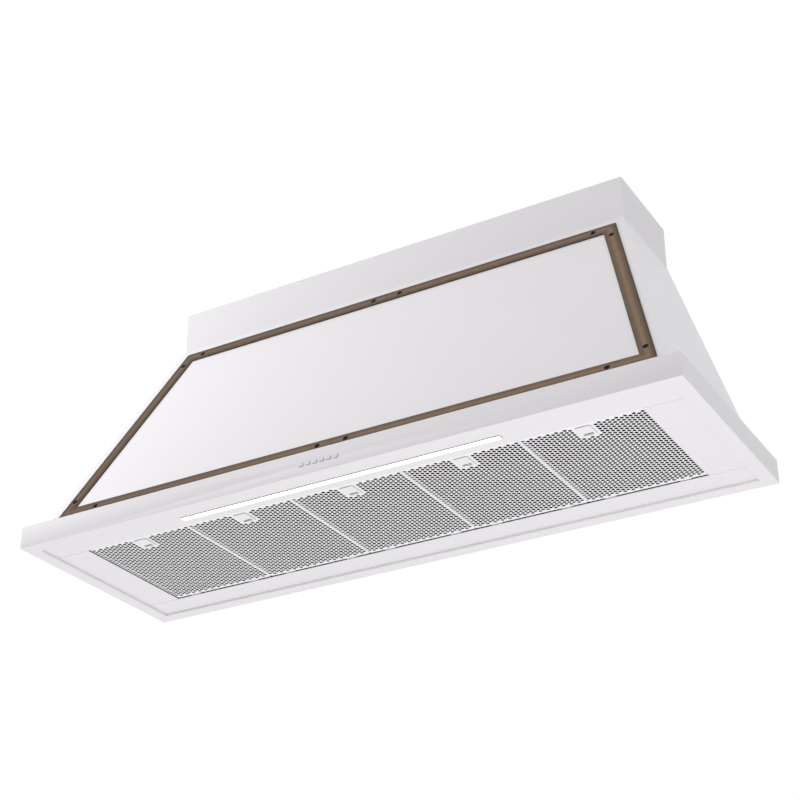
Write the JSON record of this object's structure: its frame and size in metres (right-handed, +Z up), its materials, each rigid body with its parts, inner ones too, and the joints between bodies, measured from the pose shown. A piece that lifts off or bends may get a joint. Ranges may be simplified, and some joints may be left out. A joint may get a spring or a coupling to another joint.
{
  "type": "under cabinet range hood",
  "caption": "Wide sloped-canopy range hood in white enamel with a bronze trim frame, underside light bar, drop-down grease filters, push buttons, blower and duct collar with damper.",
  "frame": {"origin": "middle of the four cabinet screws, on the top plate's upper face", "axes": "+X along the hood's width to the right as the cook faces it, +Y to the wall, +Z up"},
  "size_m": [1.5, 0.5015, 0.6962],
  "materials": {
    "white_enamel": "satin white enamel on steel sheet",
    "bronze": "brushed and aged bronze",
    "dark_screw": "dark oxide",
    "light_housing_white": "white coated",
    "diffuser": "opal, lit from behind",
    "board_white": "white solder mask",
    "driver_case": "fine texture",
    "black_plastic": "fine texture",
    "galvanised": "spangled zinc",
    "motor_paint": "black paint",
    "steel_pin": "ground",
    "grey_plastic": "fine texture",
    "impeller_plastic": "moulded",
    "damper_aluminium": "mill finish",
    "filter_white": "white coated perforated sheet",
    "filter_mesh": "layered expanded mesh",
    "latch_white": "white coated",
    "button_white": "satin moulded"
  },
  "bodies": {
    "hood": {"front_fascia": "white_enamel", "rear_rim": "white_enamel", "left_rim": "white_enamel", "right_rim": "white_enamel", "front_panel": "white_enamel", "rear_panel": "white_enamel", "left_side_panel": "white_enamel", "right_side_panel": "white_enamel", "top_front_casing": "white_enamel", "top_plate": "white_enamel", "top_left_casing": "white_enamel", "top_right_casing": "white_enamel", "trim_screws": "dark_screw", "light_panel": "white_enamel", "rear_infill": "white_enamel", "left_infill": "white_enamel", "right_infill": "white_enamel", "light_housing": "light_housing_white", "light_lens": "diffuser", "light_board": "board_white", "light_driver": "driver_case", "switch_bank": "black_plastic", "blower_scroll": "galvanised", "blower_motor": "motor_paint", "blower_brackets": "galvanised", "duct_collar": "galvanised", "damper_pin": "steel_pin", "terminal_box": "grey_plastic", "cable_gland": "black_plastic", "trim_left": "bronze", "trim_right": "bronze", "trim_top_left": "bronze", "trim_top_right": "bronze", "trim_bottom_left": "bronze", "trim_bottom_right": "bronze"},
    "button_1": {"button_1": "button_white"},
    "button_2": {"button_2": "button_white"},
    "button_3": {"button_3": "button_white"},
    "button_4": {"button_4": "button_white"},
    "button_5": {"button_5": "button_white"},
    "button_6": {"button_6": "button_white"},
    "filter_1": {"filter_1_frame": "filter_white", "filter_1_core": "filter_mesh"},
    "latch_1": {"filter_1_latch": "latch_white"},
    "filter_2": {"filter_2_frame": "filter_white", "filter_2_core": "filter_mesh"},
    "latch_2": {"filter_2_latch": "latch_white"},
    "filter_3": {"filter_3_frame": "filter_white", "filter_3_core": "filter_mesh"},
    "latch_3": {"filter_3_latch": "latch_white"},
    "filter_4": {"filter_4_frame": "filter_white", "filter_4_core": "filter_mesh"},
    "latch_4": {"filter_4_latch": "latch_white"},
    "filter_5": {"filter_5_frame": "filter_white", "filter_5_core": "filter_mesh"},
    "latch_5": {"filter_5_latch": "latch_white"},
    "impeller": {"impeller": "impeller_plastic", "motor_shaft": "steel_pin"},
    "damper_front": {"damper_front": "damper_aluminium"},
    "damper_rear": {"damper_rear": "damper_aluminium"}
  },
  "joints": [
    {"name": "button_1_press", "type": "slide", "parent": "hood", "child": "button_1", "axis": [0, 1, 0], "range_m": [0, 0.0012], "stiffness_N_per_m": 1500},
    {"name": "button_2_press", "type": "slide", "parent": "hood", "child": "button_2", "axis": [0, 1, 0], "range_m": [0, 0.0012], "stiffness_N_per_m": 1500},
    {"name": "button_3_press", "type": "slide", "parent": "hood", "child": "button_3", "axis": [0, 1, 0], "range_m": [0, 0.0012], "stiffness_N_per_m": 1500},
    {"name": "button_4_press", "type": "slide", "parent": "hood", "child": "button_4", "axis": [0, 1, 0], "range_m": [0, 0.0012], "stiffness_N_per_m": 1500},
    {"name": "button_5_press", "type": "slide", "parent": "hood", "child": "button_5", "axis": [0, 1, 0], "range_m": [0, 0.0012], "stiffness_N_per_m": 1500},
    {"name": "button_6_press", "type": "slide", "parent": "hood", "child": "button_6", "axis": [0, 1, 0], "range_m": [0, 0.0012], "stiffness_N_per_m": 1500},
    {"name": "filter_1_drop", "type": "hinge", "parent": "hood", "child": "filter_1", "pos_m": [-0.512, 0.021, -0.6525], "axis": [1, 0, 0], "range_deg": [0, 75]},
    {"name": "latch_1_pull", "type": "slide", "parent": "filter_1", "child": "latch_1", "axis": [0, 1, 0], "range_m": [0, 0.008], "stiffness_N_per_m": 250},
    {"name": "filter_2_drop", "type": "hinge", "parent": "hood", "child": "filter_2", "pos_m": [-0.256, 0.021, -0.6525], "axis": [1, 0, 0], "range_deg": [0, 75]},
    {"name": "latch_2_pull", "type": "slide", "parent": "filter_2", "child": "latch_2", "axis": [0, 1, 0], "range_m": [0, 0.008], "stiffness_N_per_m": 250},
    {"name": "filter_3_drop", "type": "hinge", "parent": "hood", "child": "filter_3", "pos_m": [0, 0.021, -0.6525], "axis": [1, 0, 0], "range_deg": [0, 75]},
    {"name": "latch_3_pull", "type": "slide", "parent": "filter_3", "child": "latch_3", "axis": [0, 1, 0], "range_m": [0, 0.008], "stiffness_N_per_m": 250},
    {"name": "filter_4_drop", "type": "hinge", "parent": "hood", "child": "filter_4", "pos_m": [0.256, 0.021, -0.6525], "axis": [1, 0, 0], "range_deg": [0, 75]},
    {"name": "latch_4_pull", "type": "slide", "parent": "filter_4", "child": "latch_4", "axis": [0, 1, 0], "range_m": [0, 0.008], "stiffness_N_per_m": 250},
    {"name": "filter_5_drop", "type": "hinge", "parent": "hood", "child": "filter_5", "pos_m": [0.512, 0.021, -0.6525], "axis": [1, 0, 0], "range_deg": [0, 75]},
    {"name": "latch_5_pull", "type": "slide", "parent": "filter_5", "child": "latch_5", "axis": [0, 1, 0], "range_m": [0, 0.008], "stiffness_N_per_m": 250},
    {"name": "impeller_spin", "type": "hinge", "parent": "hood", "child": "impeller", "pos_m": [0, -0.02, -0.27], "axis": [1, 0, 0], "continuous": true},
    {"name": "damper_front_open", "type": "hinge", "parent": "hood", "child": "damper_front", "pos_m": [0, 0.015, -0.032], "axis": [-1, 0, 0], "range_deg": [0, 80]},
    {"name": "damper_rear_open", "type": "hinge", "parent": "hood", "child": "damper_rear", "pos_m": [0, 0.015, -0.032], "axis": [1, 0, 0], "range_deg": [0, 80]}
  ]
}
